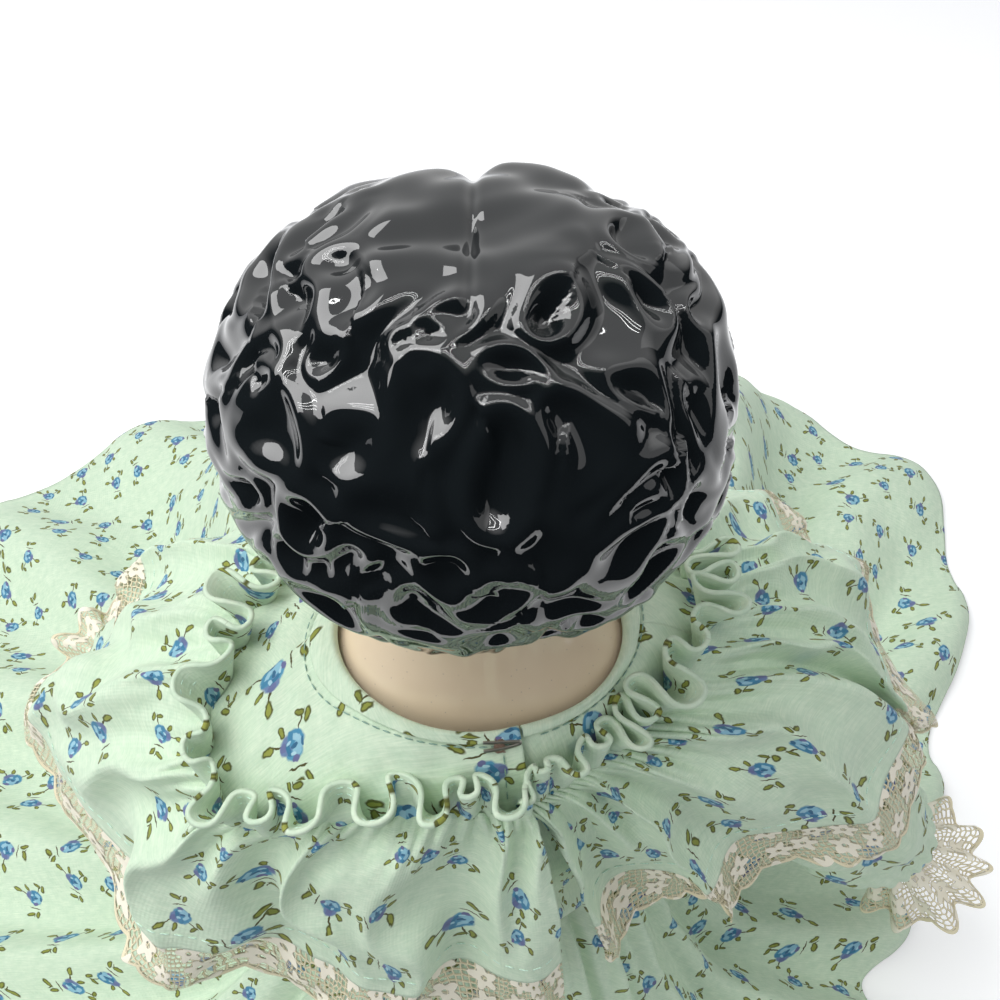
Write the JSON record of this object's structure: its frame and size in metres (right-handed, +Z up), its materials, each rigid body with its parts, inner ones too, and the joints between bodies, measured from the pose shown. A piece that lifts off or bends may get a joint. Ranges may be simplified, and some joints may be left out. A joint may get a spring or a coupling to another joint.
{
  "type": "porcelain doll",
  "caption": "Seated doll with a glazed porcelain shoulder head of moulded black curls, stuffed cloth body, porcelain limbs and a ruffled, lace-edged calico dress.",
  "frame": {"origin": "on the floor under the doll's neck, on the flat underside of its seat", "axes": "+Z up, +Y the way the doll faces, +X towards its right hand"},
  "size_m": [0.4311, 0.4177, 0.261],
  "materials": {
    "glazed_porcelain": "cream-white glazed porcelain; the moulded hair is glazed jet black",
    "limb_porcelain": "cream-white glazed porcelain; boots glazed black",
    "body_cloth": "plain-woven deep rose cotton",
    "stuffing": "packed fibre",
    "cotton_tape": "unbleached cotton tape and thread",
    "white_cotton": "plain white cotton lawn",
    "calico": "pale mint printed cotton with small blue rose sprigs",
    "lace": "cream cotton net lace",
    "hook_steel": "small plated wire hook and eye"
  },
  "bodies": {
    "body": {"shoulder_head": "glazed_porcelain", "plate_ties": "cotton_tape", "torso_cover": "body_cloth", "torso_stuffing": "stuffing", "drawers_seat": "white_cotton", "petticoat": "white_cotton", "skirt": "calico", "bodice_front": "calico", "bodice_back_left": "calico", "bodice_back_right": "calico", "neck_binding": "calico", "back_hook": "hook_steel", "ruffle_left": "calico", "ruffle_lace_left": "lace", "ruffle_heading_left": "calico", "ruffle_right": "calico", "ruffle_lace_right": "lace", "ruffle_heading_right": "calico"},
    "arm_left": {"upper_arm_cover_left": "body_cloth", "upper_arm_stuffing_left": "stuffing", "arm_binding_left": "cotton_tape", "forearm_and_hand_left": "limb_porcelain", "sleeve_left": "calico", "cuff_left": "calico", "cuff_lace_left": "lace"},
    "arm_right": {"upper_arm_cover_right": "body_cloth", "upper_arm_stuffing_right": "stuffing", "arm_binding_right": "cotton_tape", "forearm_and_hand_right": "limb_porcelain", "sleeve_right": "calico", "cuff_right": "calico", "cuff_lace_right": "lace"},
    "leg_left": {"thigh_cover_left": "body_cloth", "thigh_stuffing_left": "stuffing", "leg_binding_left": "cotton_tape", "lower_leg_and_boot_left": "limb_porcelain", "drawers_leg_left": "white_cotton"},
    "leg_right": {"thigh_cover_right": "body_cloth", "thigh_stuffing_right": "stuffing", "leg_binding_right": "cotton_tape", "lower_leg_and_boot_right": "limb_porcelain", "drawers_leg_right": "white_cotton"}
  },
  "joints": [
    {"name": "shoulder_left", "type": "hinge", "parent": "body", "child": "arm_left", "pos_m": [-0.04648, 0, 0.15], "axis": [1, 0, 0], "range_deg": [-15, 35], "deforming": ["ruffle_left", "ruffle_lace_left"]},
    {"name": "shoulder_right", "type": "hinge", "parent": "body", "child": "arm_right", "pos_m": [0.04648, 0, 0.15], "axis": [1, 0, 0], "range_deg": [-25, 45], "deforming": ["ruffle_right", "ruffle_lace_right"]},
    {"name": "hip_left", "type": "hinge", "parent": "body", "child": "leg_left", "pos_m": [-0.018, 0.0385, 0.017], "axis": [0, 0, 1], "range_deg": [0, 12]},
    {"name": "hip_right", "type": "hinge", "parent": "body", "child": "leg_right", "pos_m": [0.018, 0.0385, 0.017], "axis": [0, 0, -1], "range_deg": [0, 12]}
  ]
}
